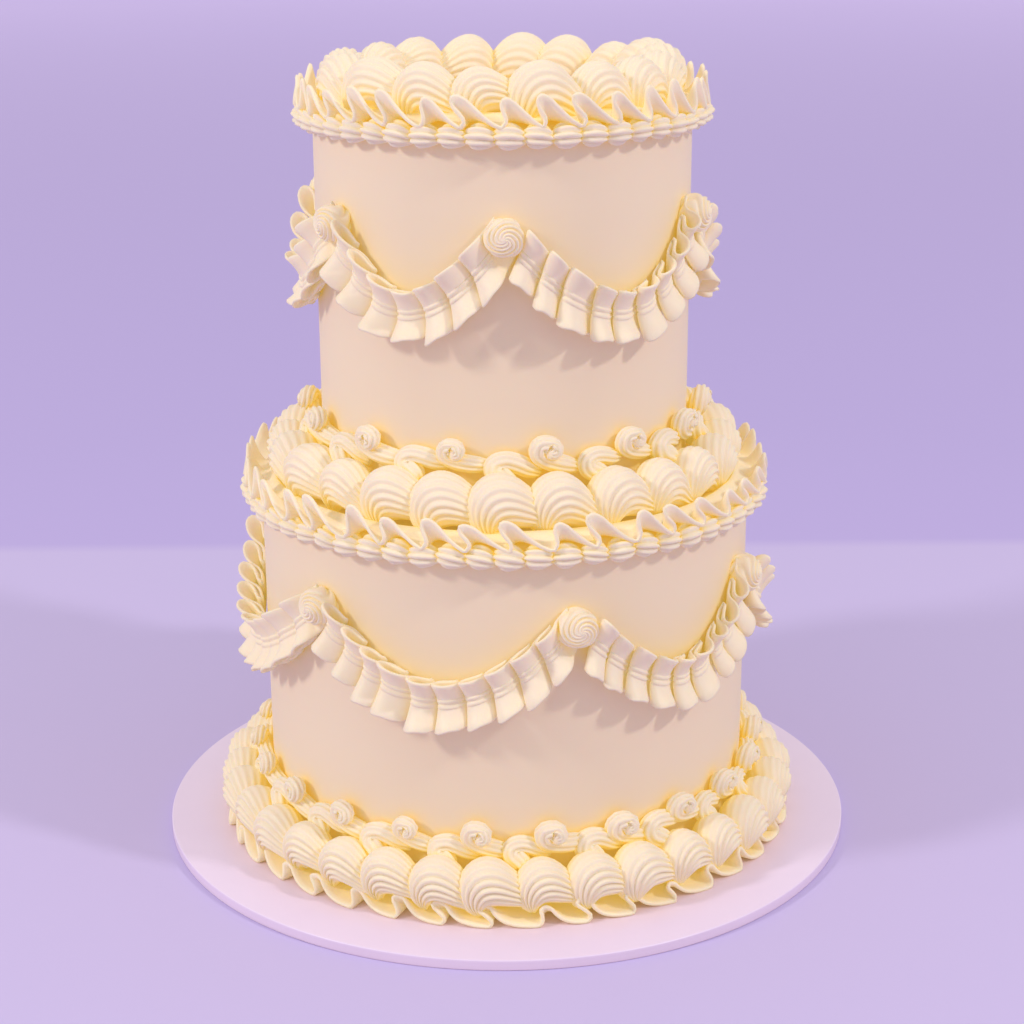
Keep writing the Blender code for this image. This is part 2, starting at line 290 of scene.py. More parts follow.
black = (0.0, 0.0, 0.0, 1.0)
icing = {
    "fresh": tone(245, 229, 204),
    "wall": tone(241, 221, 191),
    # painted light: the next three are crevice colours, a painted golden glow of light scattered and
    # bounced in the icing's hollows
    "paintedWarmGlow": tone(246, 225, 182),
    "paintedGoldenGlow": tone(245, 218, 130),
    "paintedDeepGlow": tone(243, 204, 64),
    # painted glow: light emitted in crevices and thin sheets, and a painted halo on the walls round the
    # piping
    "glow": (0.56, 0.47, 0.09, 1.0),
    "halo": (0.54, 0.5, 0.29, 1.0),
    "piping": 0.97,  # how strongly the painted golden shade and glow shows in crevices, in ropes and shells
    "folds": 0.7,  # and in the swags
    "reach": 11.0 * mm,  # how far off another surface still brings painted crevice shade and glow
    "wallReach": 10.0 * mm,
    "finish": {
        "Roughness": 0.45,
        "IOR": 1.45,
        "Specular IOR Level": 0.3,
        "Subsurface Weight": 0.15,
        "Subsurface Radius": (1.0, 0.55, 0.22),
        "Subsurface Scale": 0.003,
        # how bright the painted glow is
        "Emission Strength": 0.36,
    },
}


def paintedCreviceShade(wire, distance, samples=3):
    # ambient occlusion, 1 deep in a crevice and 0 in the open; it drives painted shade and glow, not the
    # icing's own colour
    settings = {"samples": samples}
    return 1 - wire.add("ShaderNodeAmbientOcclusion", settings, {"Distance": distance}, "AO")


def pipedIcing(name, paintedGlowStrength):
    made, wire, shader = newMaterial(name, icing["finish"])
    place = wire.add("ShaderNodeTexCoord", output="Object")
    groove = wire.add("ShaderNodeAttribute", {"attribute_name": "groove"}, output="Fac")
    grain = wire.add("ShaderNodeTexNoise", None, {"Vector": place, "Scale": 900.0, "Detail": 3.0})
    patch = wire.add("ShaderNodeTexNoise", None, {"Vector": place, "Scale": 60.0, "Detail": 2.0})
    # painted glow: thin sheets get less painted shade and a glow of light coming through
    thin = (0 - groove).clamped()
    shade = paintedCreviceShade(wire, icing["reach"]) * (1 - thin * 0.5) * paintedGlowStrength
    # painted shade: grooves and occluded crevices turn warm, golden and deep, over a random patchy tone
    depth = groove.clamped() ** 2.0 * 0.14 + shade ** 2.1 * 0.94 + (patch - 0.5) * 0.1
    stops = (
        (0.0, icing["fresh"]),
        (0.22, icing["fresh"]),
        (0.45, icing["paintedWarmGlow"]),
        (0.75, icing["paintedGoldenGlow"]),
        (1.0, icing["paintedDeepGlow"]),
    )
    colour = wire.add("ShaderNodeValToRGB", {"stops": stops}, {"Fac": depth}, output="Color")
    connect(colour, shader.inputs["Base Color"])
    # painted glow: emitted warm light in crevices and on thin sheets, standing in for light scattered
    # through the icing
    glow = (shade ** 1.5 * 1.15 + thin * 0.18).clamped().mix(black, icing["glow"])
    connect(glow, shader.inputs["Emission Color"])
    connect(0.4 + patch * 0.14, shader.inputs["Roughness"])
    height = grain * 0.35 + patch
    bump = wire.add("ShaderNodeBump", None, {"Height": height, "Strength": 0.22, "Distance": 0.4 * mm})
    connect(bump, shader.inputs["Normal"])
    return made


def smoothIcing():
    made, wire, shader = newMaterial("smoothIcing", icing["finish"])
    place = wire.add("ShaderNodeTexCoord", output="Object")
    spread = wire.add("ShaderNodeMapping", None, {"Vector": place, "Scale": (9.0, 9.0, 46.0)})
    stroke = wire.add("ShaderNodeTexNoise", None, {"Vector": spread, "Scale": 2.0, "Detail": 3.0})
    patch = wire.add("ShaderNodeTexNoise", None, {"Vector": place, "Scale": 22.0, "Detail": 2.0})
    grain = wire.add("ShaderNodeTexNoise", None, {"Vector": place, "Scale": 700.0, "Detail": 3.0})
    # painted shade: the wall turns warm and golden near the piping, from ambient occlusion
    shade = paintedCreviceShade(wire, icing["wallReach"])
    depth = shade ** 2.1 * 0.9 + (patch - 0.5) * 0.08
    stops = (
        (0.0, icing["wall"]),
        (0.16, icing["wall"]),
        (0.42, icing["paintedWarmGlow"]),
        (0.74, icing["paintedGoldenGlow"]),
        (1.0, icing["paintedDeepGlow"]),
    )
    colour = wire.add("ShaderNodeValToRGB", {"stops": stops}, {"Fac": depth}, output="Color")
    connect(colour, shader.inputs["Base Color"])
    # painted glow: a warm halo of emitted light on the wall round the piping
    tint = (shade ** 3.0).clamped().mix(icing["halo"], icing["glow"])
    glow = (shade ** 2.4 * 0.6).clamped().mix(black, tint)
    connect(glow, shader.inputs["Emission Color"])
    connect(0.42 + stroke * 0.16, shader.inputs["Roughness"])
    height = stroke + patch * 0.5 + grain * 0.05
    bump = wire.add("ShaderNodeBump", None, {"Height": height, "Strength": 0.25, "Distance": 0.6 * mm})
    connect(bump, shader.inputs["Normal"])
    return made


boardLook = {
    "plain": tone(235, 218, 243),
    "cloudy": tone(230, 212, 239),
    "paintedBounceColour": tone(236, 200, 170),
    "reach": 16.0 * mm,  # how far off the icing the painted warm bounce light still reaches on the board
    "paintedBounceStrength": 0.45,
    "finish": {"Roughness": 0.35, "Specular IOR Level": 0.4, "Coat Weight": 0.15, "Coat Roughness": 0.25},
}


def boardWhite():
    made, wire, shader = newMaterial("boardWhite", boardLook["finish"])
    place = wire.add("ShaderNodeTexCoord", output="Object")
    cloud = wire.add("ShaderNodeTexNoise", None, {"Vector": place, "Scale": 30.0, "Detail": 3.0})
    grain = wire.add("ShaderNodeTexNoise", None, {"Vector": place, "Scale": 600.0, "Detail": 2.0})
    # painted light: the board turns a warm bounce colour near the icing, by ambient occlusion
    paintedBounceShare = paintedCreviceShade(wire, boardLook["reach"])
    plain = cloud.mix(boardLook["plain"], boardLook["cloudy"])
    paintedWarmGlow = (paintedBounceShare ** 1.5 * boardLook["paintedBounceStrength"]).mix(plain, boardLook["paintedBounceColour"])
    connect(paintedWarmGlow, shader.inputs["Base Color"])
    connect(0.3 + cloud * 0.12, shader.inputs["Roughness"])
    bump = wire.add("ShaderNodeBump", None, {"Height": grain, "Strength": 0.06, "Distance": 0.2 * mm})
    connect(bump, shader.inputs["Normal"])
    return made


# the swags take the same icing with weaker painted crevice shade and glow
piped = pipedIcing("pipedIcing", icing["piping"])
folded = pipedIcing("foldedIcing", icing["folds"])
smooth = smoothIcing()
board = boardWhite()
print("materials made")


# Board and tiers: turned slabs, measured in millimetres

boardTop, ledgeTop, cakeTop = 4.5, 157.0, 313.0
lowerWall, upperWall = 104.0, 77.4
slabs = {
    "board": {
        "node": "cake_board", "finish": board, "slot": "board", "sides": 192, "radius": 150.0,
        "low": 0.0, "high": boardTop, "edge": 0.6, "foot": 0.5,
    },
    "lowerTier": {
        "node": "lower_tier", "finish": smooth, "slot": "smooth_icing", "sides": 180,
        "radius": lowerWall, "low": boardTop, "high": ledgeTop, "edge": 3.5, "foot": 0.25,
    },
    "upperTier": {
        "node": "upper_tier", "finish": smooth, "slot": "smooth_icing", "sides": 160,
        "radius": upperWall, "low": ledgeTop, "high": cakeTop, "edge": 3.5, "foot": 0.25,
    },
}


def slabProfile(radius, low, high, edge, foot, steps=7):
    # points of radius and height: a rounded top edge and a small rounded foot
    bend = np.linspace(0, math.pi / 2, steps)
    shape = [(radius * share, low) for share in (0.3, 0.8)]
    shape += [(radius - foot + foot * math.sin(b), low + foot - foot * math.cos(b)) for b in bend]
    shape += [(radius, height) for height in np.linspace(low + foot, high - edge, 5)[1:-1]]
    shape += [(radius - edge + edge * math.cos(b), high - edge + edge * math.sin(b)) for b in bend]
    return shape + [(radius * share, high) for share in (0.85, 0.6, 0.3, 0.1)]


def makeSlab(name, row):
    profile = slabProfile(row["radius"], row["low"], row["high"], row["edge"], row["foot"])
    radius, height = np.array(profile, float).T * mm
    angle = fullTurn * np.arange(row["sides"]) / row["sides"]
    batch = Batch(name)
    batch.tube(polar(angle[None, :], radius[:, None], height[:, None]))
    return batch.finish(row["finish"], row["slot"], [row["node"]])


for name, row in slabs.items():
    makeSlab(name, row)
print("board and tiers made")


# Shells: a ridged rope that curls clockwise over its eye and runs off to the right

shellShape = {
    "teeth": 18,
    "groove": 1.5,
    "plump": (0.92, 1.06),
    "sizePlay": 0.008,  # uneven size and place, for each degree of a row's play
    "placePlay": 0.1,
    "clear": 0.4,  # lowest height over the floor
    # share of the length, then how smooth the outer side is
    "calm": ((0.0, 0.4), (0.2, 1.0), (0.6, 1.0), (0.82, 0.6), (1.0, 0.3)),
    # share of the length, then the inner and outer curve, across and up, the seat and the
    # thickness, all as shares of the girth
    "keys": (
        (0.0, -0.22, -1.02, -0.46, -1.0, -0.3, 0.12),
        (0.07, -0.18, -0.96, -0.74, -0.82, -0.24, 0.34),
        (0.18, -0.12, -0.88, -0.98, -0.36, -0.14, 0.58),
        (0.32, -0.02, -0.8, -0.92, 0.3, -0.04, 0.78),
        (0.46, 0.12, -0.74, -0.5, 0.82, 0.0, 0.92),
        (0.58, 0.3, -0.72, 0.04, 0.98, 0.0, 0.94),
        (0.7, 0.56, -0.74, 0.58, 0.82, -0.04, 0.82),
        (0.82, 0.94, -0.78, 1.06, 0.42, -0.14, 0.6),
        (0.93, 1.42, -0.82, 1.52, 0.02, -0.26, 0.36),
        (1.0, 1.86, -0.78, 1.9, -0.36, -0.32, 0.14),
    ),
}
# lengths in millimetres; first, slope and play in degrees, play being how far a shell may roll
shellRows = {
    "baseShells": {
        "node": "base_shells", "count": 35, "first": -3.8, "girth": 11.2, "radius": 117.0,
        "floor": boardTop, "rise": 15.0, "slope": 58, "steps": 4, "stations": 24,
        "calm": 0.7, "play": 7,
    },
    "ledgeShells": {
        "node": "ledge_shells", "count": 25, "first": -1.2, "girth": 12.2, "radius": 91.4,
        "floor": ledgeTop, "rise": 12.6, "slope": 58, "steps": 5, "stations": 30,
        "calm": 0.6, "play": 9,
    },
    "topShells": {
        "node": "top_shells", "count": 18, "first": -7.1, "girth": 12.0, "radius": 65.4,
        "floor": cakeTop, "rise": 9.8, "slope": 54, "steps": 5, "stations": 32,
        "calm": 0.2, "play": 18,
    },
}


def makeShells(name, row):
    batch = Batch(name)
    slope = math.radians(row["slope"])
    shares = 0.5 - 0.5 * np.cos(np.linspace(0, math.pi, row["stations"]))
    shares = 0.5 * shares + 0.5 * np.linspace(0, 1, row["stations"])
    innerAcross, innerUp, outerAcross, outerUp, out, thick = follow(shellShape["keys"], shares)
    inner = np.stack((innerAcross, innerUp), axis=-1)
    outer = np.stack((outerAcross, outerUp), axis=-1)
    (calm,) = follow(shellShape["calm"], shares)
    play = row["play"]
    sizePlay, placePlay = shellShape["sizePlay"], shellShape["placePlay"]
    for k in range(row["count"]):
        angle = math.radians(row["first"]) + fullTurn * k / row["count"]
        size = row["girth"] * (1 + play * dice.uniform(-sizePlay, sizePlay))
        roll = math.radians(dice.uniform(-play, play))
        shift, sink = dice.uniform(-placePlay, placePlay, 2) * play
        plump = dice.uniform(*shellShape["plump"])

        def place(points):
            x, y = rolled(points[..., 0], points[..., 1], roll)
            out = points[..., 2]
            radius = (row["radius"] + sink) * mm + out * math.sin(slope) - y * math.cos(slope)
            height = (row["floor"] + row["rise"]) * mm + y * math.sin(slope) + out * math.cos(slope)
            height = np.maximum(height, (row["floor"] + shellShape["clear"]) * mm)
            return polar(angle + (x + shift * mm) / (row["radius"] * mm), radius, height)

        curl(
            batch, inner * size, outer * size, out * size, thick * size * plump, place,
            shellShape["teeth"], shellShape["groove"], row["steps"], calm * row["calm"],
        )
    return batch.finish(piped, "piped_icing", [row["node"]])


for name, row in shellRows.items():
    makeShells(name, row)
print("shells made")


# Scrolls: small ropes whose heads curl up and down in turn

scrollShape = {
    "teeth": 9,
    "groove": 0.9,
    "stagger": 0.5,  # how far up and down the heads sit in turn, as a share of half
    "delay": 0.12,  # and along the row, as a share of the pitch
    "size": (0.92, 1.06),
    "roll": (-9, 9),
    "lift": (-0.6, 0.6),
    "sunk": 0.8,  # how far a rope may sink into the wall, and how far off it is seated
    # share of the length, then across, up and out as shares of the head's half width, and reach
    "upCurl": (
        (0.0, -0.06, -0.02, 1.2, 0.26),
        (0.08, 0.1, -0.02, 1.06, 0.48),
        (0.2, 0.18, 0.28, 0.84, 0.54),
        (0.34, -0.34, 0.32, 0.68, 0.56),
        (0.48, -0.46, -0.16, 0.56, 0.58),
        (0.61, -0.1, -0.52, 0.46, 0.55),
        (0.74, 0.5, -0.72, 0.4, 0.56),
        (0.88, 1.2, -0.88, 0.3, 0.52),
        (1.0, 1.9, -1.04, 0.12, 0.34),
    ),
    "downCurl": (
        (0.0, 0.34, -0.78, 0.8, 0.34),
        (0.07, 0.34, -0.68, 0.84, 0.56),
        (0.2, 0.14, -0.42, 0.76, 0.64),
        (0.36, -0.24, -0.06, 0.64, 0.64),
        (0.5, -0.22, 0.32, 0.54, 0.6),
        (0.62, 0.2, 0.5, 0.46, 0.56),
        (0.76, 0.8, 0.36, 0.38, 0.56),
        (0.89, 1.4, 0.08, 0.28, 0.52),
        (1.0, 2.0, -0.14, 0.12, 0.34),
    ),
}
scrollRows = {
    "baseScrolls": {
        "node": "base_scrolls", "count": 46, "first": -6.8, "half": 7.0, "wall": lowerWall,
        "height": 32.9, "stations": 22,
    },
    "ledgeScrolls": {
        "node": "ledge_scrolls", "count": 28, "first": -15.4, "half": 7.0, "wall": upperWall,
        "height": 184.2, "stations": 30,
    },
}


def makeScrolls(name, row):
    batch = Batch(name)
    shares = np.linspace(0, 1, row["stations"])
    curls = [follow(scrollShape[curl], shares) for curl in ("upCurl", "downCurl")]
    for k in range(row["count"]):
        across, up, out, reach = curls[k % 2]
        seat = row["height"] + (1 if k % 2 == 0 else -1) * row["half"] * scrollShape["stagger"]
        angle = math.radians(row["first"]) + fullTurn * (k + scrollShape["delay"]) / row["count"]
        half = row["half"] * dice.uniform(*scrollShape["size"])
        roll = math.radians(dice.uniform(*scrollShape["roll"]))
        lift = dice.uniform(*scrollShape["lift"])

        def place(points):
            x, y = rolled(points[..., 0], points[..., 1], roll)
            radius = (row["wall"] + scrollShape["sunk"]) * mm + points[..., 2]
            radius = np.maximum(radius, (row["wall"] - scrollShape["sunk"]) * mm)
            height = (seat + lift) * mm + y
            return polar(angle + x / (row["wall"] * mm), radius, height)

        path = np.stack((across, up, out), axis=-1) * half
        pipe(batch, path, reach * half, place, scrollShape["teeth"], scrollShape["groove"])
    return batch.finish(piped, "piped_icing", [row["node"]])


for name, row in scrollRows.items():
    makeScrolls(name, row)
print("scrolls made")


# Beads: the chain of small ridged shells on each tier's edge

beadShape = {
    "teeth": 9,
    "groove": 1.5,
    "stations": 12,
    "off": 2.2,  # the middle's distance from the wall
    "flat": 1.12,  # height of the section over its width
    "size": (0.93, 1.06),
    "roll": (-9, 8),
    # share of the length, then across as a share of the pitch, up and out in millimetres, and reach
    "keys": (
        (0.0, -0.5, 0.3, -0.8, 0.24),
        (0.08, -0.45, 0.4, -0.2, 0.62),
        (0.26, -0.26, 0.5, 0.8, 0.97),
        (0.46, -0.02, 0.4, 1.0, 1.0),
        (0.68, 0.24, -0.2, 0.4, 0.76),
        (0.86, 0.44, -0.7, -0.5, 0.46),
        (1.0, 0.6, -1.0, -1.2, 0.22),
    ),
}
beadRows = {
    "ledgeBeads": {
        "node": "ledge_beads", "count": 61, "first": 1.3, "wall": lowerWall, "height": 153.0, "half": 5.1,
    },
    "topBeads": {
        "node": "top_beads", "count": 47, "first": -5.2, "wall": upperWall, "height": 309.0, "half": 5.0,
    },
}


def makeBeads(name, row):
    batch = Batch(name)
    shares = np.linspace(0, 1, beadShape["stations"])
    across, up, out, reach = follow(beadShape["keys"], shares)
    pitch = fullTurn * row["wall"] / row["count"]
    for k in range(row["count"]):
        angle = math.radians(row["first"]) + fullTurn * k / row["count"]
        size = dice.uniform(*beadShape["size"])
        roll = math.radians(dice.uniform(*beadShape["roll"]))

        def place(points):
            x, y = rolled(points[..., 0], points[..., 1], roll)
            radius = (row["wall"] + beadShape["off"]) * mm + points[..., 2]
            return polar(angle + x / (row["wall"] * mm), radius, row["height"] * mm + y)

        path = np.stack((across * pitch, up * size, out * size), axis=-1)
        pipe(
            batch, path, reach * row["half"] * size, place, beadShape["teeth"], beadShape["groove"],
            flat=beadShape["flat"],
        )
    return batch.finish(piped, "piped_icing", [row["node"]])


for name, row in beadRows.items():
    makeBeads(name, row)
print("beads made")


# Ruffles: a thin ribbon whose free edge folds over like a breaking wave

# across as a share of the pitch, rise as a share of the height, and reach, 1 at the trough and 0
# at the crest
standingWave = (
    (0.0, 0.0, 1.0), (0.05, 0.2, 0.97), (-0.03, 0.44, 0.9), (-0.14, 0.68, 0.84), (-0.16, 0.9, 0.77),
    (-0.05, 1.0, 0.72), (0.12, 0.92, 0.75), (0.32, 0.66, 0.84), (0.54, 0.36, 0.93), (0.78, 0.1, 0.99),
)
lyingWave = (
    (0.0, 0.0, 1.0), (0.04, 0.24, 0.95), (-0.05, 0.55, 0.84), (-0.14, 0.86, 0.72), (-0.07, 1.0, 0.62),
    (0.08, 0.9, 0.6), (0.2, 0.54, 0.68), (0.38, 0.2, 0.8), (0.62, 0.04, 0.92), (0.86, 0.0, 0.99),
)
ruffleRows = {
    "baseRuffle": {
        "node": "base_ruffle", "count": 40, "first": -3.1, "inner": (110.0, 8.0), "seat": (116.0, 4.8),
        "trough": 125.3, "crest": 119.6, "low": 5.3, "high": 14.2, "wave": lyingWave,
    },
    "ledgeRuffle": {
        "node": "ledge_ruffle", "count": 41, "first": 1.0, "inner": (98.4, 160.6), "seat": (105.2, 155.0),
        "trough": 111.4, "crest": 107.0, "low": 157.2, "high": 169.6, "wave": standingWave,
    },
    "topRuffle": {
        "node": "top_ruffle", "count": 34, "first": 0.0, "inner": (71.8, 316.8), "seat": (78.6, 311.2),
        "trough": 84.0, "crest": 80.2, "low": 313.2, "high": 326.2, "wave": standingWave,
    },
}
ruffleShape = {
    "thickness": 1.5,
    "steps": 22,
    "columns": 9,
    "pitch": 17,  # rough width and height of one wave, for even steps along it
    "height": 10,
    "tall": (0.76, 1.08),
    "shift": (-0.09, 0.09),
    "lean": (0.6, 1.4),
    "reach": (-0.9, 0.9),
}


def repeated(keys, pitch, width=1, height=1):
    # the keys of one wave with two more from each neighbour, and the length along them; the wave
    # itself runs from the third key to the third last
    keys = np.concatenate((keys[-3:-1] - pitch, keys, keys[1:3] + pitch))
    steps = np.hypot(np.diff(keys[:, 0]) * width, np.diff(keys[:, 1]) * height)
    return keys, np.concatenate(([0.0], np.cumsum(steps)))


def makeRuffle(name, row):
    shape = ruffleShape
    batch = Batch(name)
    wave = np.array(row["wave"] + ((1.0, 0.0, 1.0),), float)
    wave, length = repeated(wave, (1, 0, 0), shape["pitch"], shape["height"])
    first, last = length[2], length[-3]
    shares = first + (last - first) * np.arange(shape["steps"]) / shape["steps"]
    edge, rise, reach = follow(np.column_stack((length, wave)), shares)
    even = (shares - first) / (last - first)
    way = np.linspace(0, 1, shape["columns"])[None, :]  # 0 at the seat and 1 at the free edge
    rows = []
    for k in range(row["count"]):
        tall = dice.uniform(*shape["tall"])
        shift = dice.uniform(*shape["shift"])
        lean = dice.uniform(*shape["lean"])
        crest = np.sin(math.pi * even) ** 0.5
        side = even + (edge - even) * np.where(edge < even, lean, 1.0) + shift * crest
        across = even[:, None] + (side - even)[:, None] * way**1.3
        far = row["crest"] + (row["trough"] - row["crest"]) * reach
        far = far + dice.uniform(*shape["reach"]) * crest
        radius = bent(row["inner"][0], row["seat"][0], far[:, None], way)
        top = row["low"] + (row["high"] - row["low"]) * rise * (1 + (tall - 1) * crest)
        height = bent(row["inner"][1], row["seat"][1], top[:, None], way)
        angle = math.radians(row["first"]) + fullTurn * (k + across) / row["count"]
        rows.append(polar(angle, radius * mm, height * mm))
    # marks as a thin sheet towards the free edge: less painted shade there and a painted glow of light
    # coming through
    ribbon(batch, np.concatenate(rows), shape["thickness"] * mm, -(way**0.7), ring=True)
    return batch.finish(piped, "piped_icing", [row["node"]])


for name, row in ruffleRows.items():
    makeRuffle(name, row)
print("ruffles made")


# Swags: a ribbon in knife pleats, pinched along its middle by two fine lines

swagShape = {
    "width": 19.4,
    "thickness": 1.3,
    "steps": 24,
    "curve": 1.9,
    "start": 6.4,  # free lengths next to the two rosettes
    "end": 5.6,
    "lean": 0.45,
    "back": 1.2,  # how far the folds stand off the wall, at their back and their front
    "front": 12.0,
    "pinch": 0.44,
    "line": 0.7,  # height of the two fine lines, and their place and width in half widths
    "lineAt": 0.13,
    "lineWidth": 0.05,
    "arch": 1.3,  # how far the lower edge rises at the fold, and over the whole pleat
    "slope": 1.6,
    # uneven from swag to swag, and from pleat to pleat
    "dropPlay": (0.97, 1.03),
    "uneven": (-0.12, 0.12),  # where each pleat ends
    "bold": (0.88, 1.06),  # how far it stands out
    "sway": (-0.09, 0.07),  # how far it leans sideways
    "hang": (-1.0, 1.0),  # how far its lower edge hangs down
    # columns from the middle of the ribbon to a free edge
    "columns": (0, 0.05, 0.095, 0.13, 0.165, 0.2, 0.27, 0.4, 0.6, 0.8, 1),
    # across as a share of the pleat, and stand as a share of the front; the last one meets the
    # next pleat's first
    "pleat": (
        (0.55, 0.14), (0.5, 0.24), (0.32, 0.32), (0.12, 0.4), (-0.03, 0.52), (-0.12, 0.7),
        (-0.12, 0.87), (-0.02, 1.0), (0.14, 1.05), (0.34, 0.98), (0.54, 0.8), (0.7, 0.54),
        (0.81, 0.3), (0.96, 0.17), (1.22, 0.11), (1.45, 0.08), (1.55, 0.14),
    ),
}
# peaks in degrees round the cake, lengths in millimetres
garlands = {
    "lower": {
        "wall": lowerWall, "peaks": (-43.6, 14.8, 66.7, 129.2, 191.6, 254.0), "peak": 124.5,
        "drop": 31.5, "pleat": 11.7,
    },
    "upper": {
        "wall": upperWall, "peaks": (-54.5, 0.5, 69.6, 128.6, 187.6, 246.6), "peak": 272.5,
        "drop": 32.5, "pleat": 12.0,
    },
}


def swagLine(tier, start, end):
    # the line that a swag hangs on: way round the wall, height, and length along it
    share = np.linspace(0, 1, 400)
    around = (end - start) * share * tier["wall"]
    drop = tier["drop"] * dice.uniform(*swagShape["dropPlay"])
    height = tier["peak"] - drop * (1 - np.abs(2 * share - 1) ** swagShape["curve"])
    length = np.concatenate(([0.0], np.cumsum(np.hypot(np.diff(around), np.diff(height)))))
    return around, height, length


def makeSwag(batch, tier, start, end):
    shape = swagShape
    wall = tier["wall"]
    around, height, length = swagLine(tier, start, end)
    first = np.interp(shape["start"], around, length)
    last = length[-1] - shape["end"]
    pleats = round((last - first) / tier["pleat"])

    plan, run = repeated(np.array(shape["pleat"], float), (1, 0))
    begin, stop = run[2], run[-3]
    shares = begin + (stop - begin) * np.arange(shape["steps"]) / shape["steps"]
    shift, stand = (line[:, None] for line in follow(np.column_stack((run, plan)), shares))

    edges = np.arange(pleats + 1) + np.concatenate(([0], dice.uniform(*shape["uneven"], pleats - 1), [0]))
    above = np.array(shape["columns"], float)
    level = np.concatenate((-above[:0:-1], above))[None, :]  # -1 at the lower edge, 1 at the upper
    fine = np.exp(-(((np.abs(level) - shape["lineAt"]) / shape["lineWidth"]) ** 2))
    gape = shape["pinch"] + (1 - shape["pinch"]) * np.abs(level) ** 1.7
    flare = np.where(level < 0, 1.06, 1.0) * level
    spread = 1 + 0.2 * (np.abs(level) - 0.5)
    slant = 0.3 * (stand - 0.6) - 1.1 * (shift - 0.2)
    arch = shape["arch"] * np.exp(-(((shift - 0.24) / 0.24) ** 2))
    slope = shape["slope"] * (shift - 0.4)
    rows = []
    for k in range(pleats):
        bold = dice.uniform(*shape["bold"])
        sway = dice.uniform(*shape["sway"])
        hang = dice.uniform(*shape["hang"])
        wide = edges[k + 1] - edges[k]
        place = edges[k] + (0.3 + (shift - 0.3) * spread + (sway - 0.05 * level) * stand) * wide
        wanted = first + (last - first) * place / pleats
        x = np.interp(wanted, length, around)
        z = np.interp(wanted, length, height)
        ahead = np.interp(wanted + 1, length, height) - np.interp(wanted - 1, length, height)
        beside = np.interp(wanted + 1, length, around) - np.interp(wanted - 1, length, around)
        lean = shape["lean"] * np.arctan2(ahead, beside)
        half = shape["width"] / 2 * (0.92 + 0.08 * stand) * bold**0.5
        droop = np.where(level > 0, slant, arch + slope - hang) * level * level
        out = shape["back"] + (shape["front"] * bold - shape["back"]) * stand * gape
        out = out + shape["line"] * fine
        angle = start + (x - flare * half * np.sin(lean)) / wall
        rows.append(polar(angle, (wall + out) * mm, (z + droop + flare * half * np.cos(lean)) * mm))
    # marks the whole ribbon as a thin sheet, half way: less painted shade and a painted glow of light
    # coming through
    ribbon(batch, np.concatenate(rows), shape["thickness"] * mm, -0.5)


rosetteShape = {
    "teeth": 6,
    "steps": 8,
    "rings": 26,
    "groove": 1.25,
    "twist": 5.0,
    "size": (0.94, 1.04),
    "sway": 0.5,  # how far the turns wander sideways
    "sunk": 0.6,  # how far the foot sinks into the wall
    "below": 0.6,  # and the middle sits under the swag's peak
    # share of the way in, then radius and stand in millimetres
    "keys": (
        (0.0, 6.8, -0.4),
        (0.16, 7.9, 2.6),
        (0.32, 8.0, 5.8),
        (0.48, 7.0, 8.8),
        (0.64, 5.1, 10.6),
        (0.8, 3.0, 11.5),
        (0.93, 1.1, 11.8),
        (1.0, 0.2, 11.9),
    ),
}


def makeRosette(batch, angle, height, wall):
    shape = rosetteShape
    shares = np.linspace(0, 1, shape["rings"])
    ring, out = follow(shape["keys"], shares)
    size = dice.uniform(*shape["size"])
    first = dice.uniform(0, fullTurn)
    turn = fullTurn * np.arange(shape["teeth"] * shape["steps"]) / (shape["teeth"] * shape["steps"])
    press = 1 - np.abs(np.cos(shape["teeth"] * turn / 2))
    spiral = turn[None, :] + first + shape["twist"] * (1 - (ring / 8)[:, None])
    depth = np.minimum(shape["groove"], 0.24 * ring)[:, None] * press[None, :]
    inwards = np.clip((out - 5) / 5, 0, 1)[:, None]  # grooves sink towards the wall on the face
    reach = (ring[:, None] - depth * (1 - 0.7 * inwards)) * size
    stand = (out[:, None] - depth * inwards) * size
    x = (reach + shape["sway"] * np.cos(spiral - first)) * np.cos(spiral)
    y = reach * np.sin(spiral)
    rows = polar(angle + x / wall, (wall + np.maximum(stand, -shape["sunk"])) * mm, (height + y) * mm)
    batch.tube(rows, press[None, :])


for name, tier in garlands.items():
    swags, rosettes = Batch(name + "Swags"), Batch(name + "Rosettes")
    peaks = [math.radians(peak) for peak in tier["peaks"]]
    for here, there in zip(peaks, peaks[1:] + [peaks[0] + fullTurn]):
        makeSwag(swags, tier, here, there)
        makeRosette(rosettes, here, tier["peak"] - rosetteShape["below"], tier["wall"])
    number = range(1, len(peaks) + 1)
    swags.finish(folded, "piped_icing", [f"{name}_swag_{k}" for k in number])
    rosettes.finish(piped, "piped_icing", [f"{name}_rosette_{k}" for k in number])
print("garlands made")


# Floor, light and camera

stageLook = {
    "table": tone(200, 187, 230),
    "beyond": tone(188, 173, 226),
    "far": tone(214, 197, 250),
    "border": 0.36,  # where the table ends, in metres behind the cake
    "sharpness": 60,
    "size": 40.0,
    "finish": {"Roughness": 0.7, "Specular IOR Level": 0.2, "Emission Strength": 0.1},
}


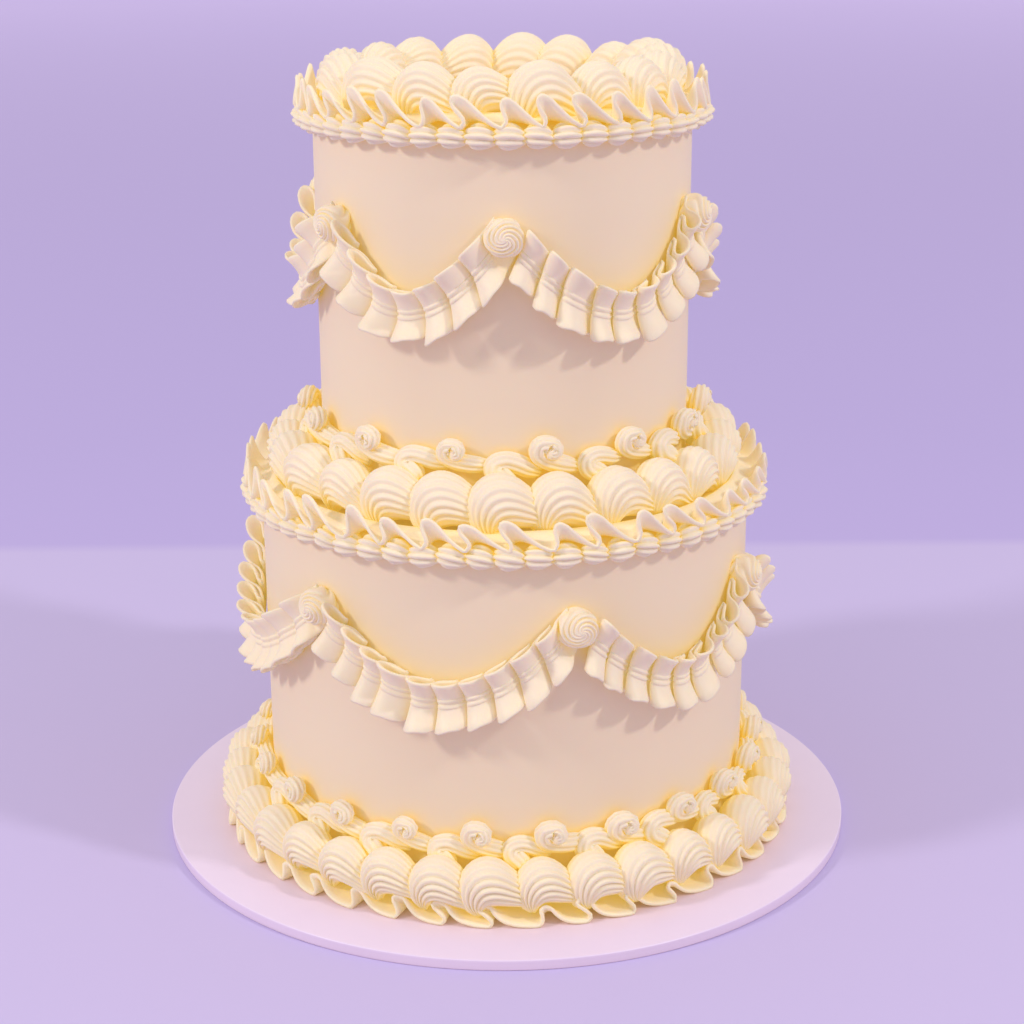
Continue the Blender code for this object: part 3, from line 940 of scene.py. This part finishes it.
def makeFloor():
    made, wire, shader = newMaterial("floorPaint", stageLook["finish"])
    place = wire.add("ShaderNodeTexCoord", output="Object")
    back = wire.add("ShaderNodeSeparateXYZ", None, {0: place}, output="Y")
    share = ((back - stageLook["border"]) * stageLook["sharpness"] + 0.5).clamped()
    reach = wire.add("ShaderNodeVectorMath", {"operation": "LENGTH"}, {0: place}, "Value")
    away = (reach * 0.22 - 0.15).clamped()
    wide = away.mix(stageLook["beyond"], stageLook["far"])
    connect(share.mix(stageLook["table"], wide), shader.inputs["Base Color"])
    connect(away.mix(black, stageLook["far"]), shader.inputs["Emission Color"])
    mesh = bpy.data.meshes.new("floor")
    side = stageLook["size"]
    corners = [(-side, -side, 0), (side, -side, 0), (side, side, 0), (-side, side, 0)]
    mesh.from_pydata(corners, [], [(0, 1, 2, 3)])
    mesh.materials.append(made)
    floor = bpy.data.objects.new("floor", mesh)
    bpy.context.scene.collection.objects.link(floor)


room = {"colour": (1.0, 0.95, 0.955, 1.0), "strength": 0.74}
lampAim = (0, 0, 0.15)
lamps = {
    "rightLamp": {"place": (1.7, -0.95, 1.75), "size": 0.2, "power": 17.0, "colour": (1.0, 0.99, 0.98)},
    "leftLamp": {"place": (-2.0, -1.0, 1.6), "size": 0.36, "power": 22.5, "colour": (1.0, 0.99, 0.975)},
}


def makeLight():
    for name, lamp in lamps.items():
        data = bpy.data.lights.new(name, "AREA")
        data.shape = "DISK"
        data.size = lamp["size"]
        data.energy = lamp["power"]
        data.color = lamp["colour"]
        light = bpy.data.objects.new(name, data)
        light.location = lamp["place"]
        aim = Vector(lampAim) - light.location
        light.rotation_euler = aim.to_track_quat("-Z", "Y").to_euler()
        light.visible_camera = False
        bpy.context.scene.collection.objects.link(light)
    world = bpy.data.worlds.new("roomLight")
    world.use_nodes = True
    sky = world.node_tree.nodes["Background"]
    sky.inputs["Color"].default_value = room["colour"]
    sky.inputs["Strength"].default_value = room["strength"]
    bpy.context.scene.world = world


# fitted to the photograph: lens and sensor in millimetres, place in metres, angles in radians
view = {
    "lens": 72.36,
    "sensor": 36.0,
    "place": (0.0, -0.84993, 0.41043),
    "yaw": 0.0036,
    "pitch": 0.3109,
    "roll": -0.0056,
}


def makeCamera():
    data = bpy.data.cameras.new("camera")
    data.lens = view["lens"]
    data.sensor_width = view["sensor"]
    camera = bpy.data.objects.new("camera", data)
    yaw, pitch, roll = view["yaw"], view["pitch"], view["roll"]
    ahead = Vector(
        (math.sin(yaw) * math.cos(pitch), math.cos(yaw) * math.cos(pitch), -math.sin(pitch))
    )
    right = Vector((math.cos(yaw), -math.sin(yaw), 0))
    up = right.cross(ahead)
    tiltedRight = math.cos(roll) * right + math.sin(roll) * up
    tiltedUp = math.cos(roll) * up - math.sin(roll) * right
    turn = Matrix((tiltedRight, tiltedUp, -ahead)).transposed().to_4x4()
    camera.matrix_world = Matrix.Translation(view["place"]) @ turn
    bpy.context.scene.collection.objects.link(camera)
    bpy.context.scene.camera = camera


makeFloor()
makeLight()
makeCamera()
bpy.context.scene.view_settings.view_transform = "Standard"
print("stage made")
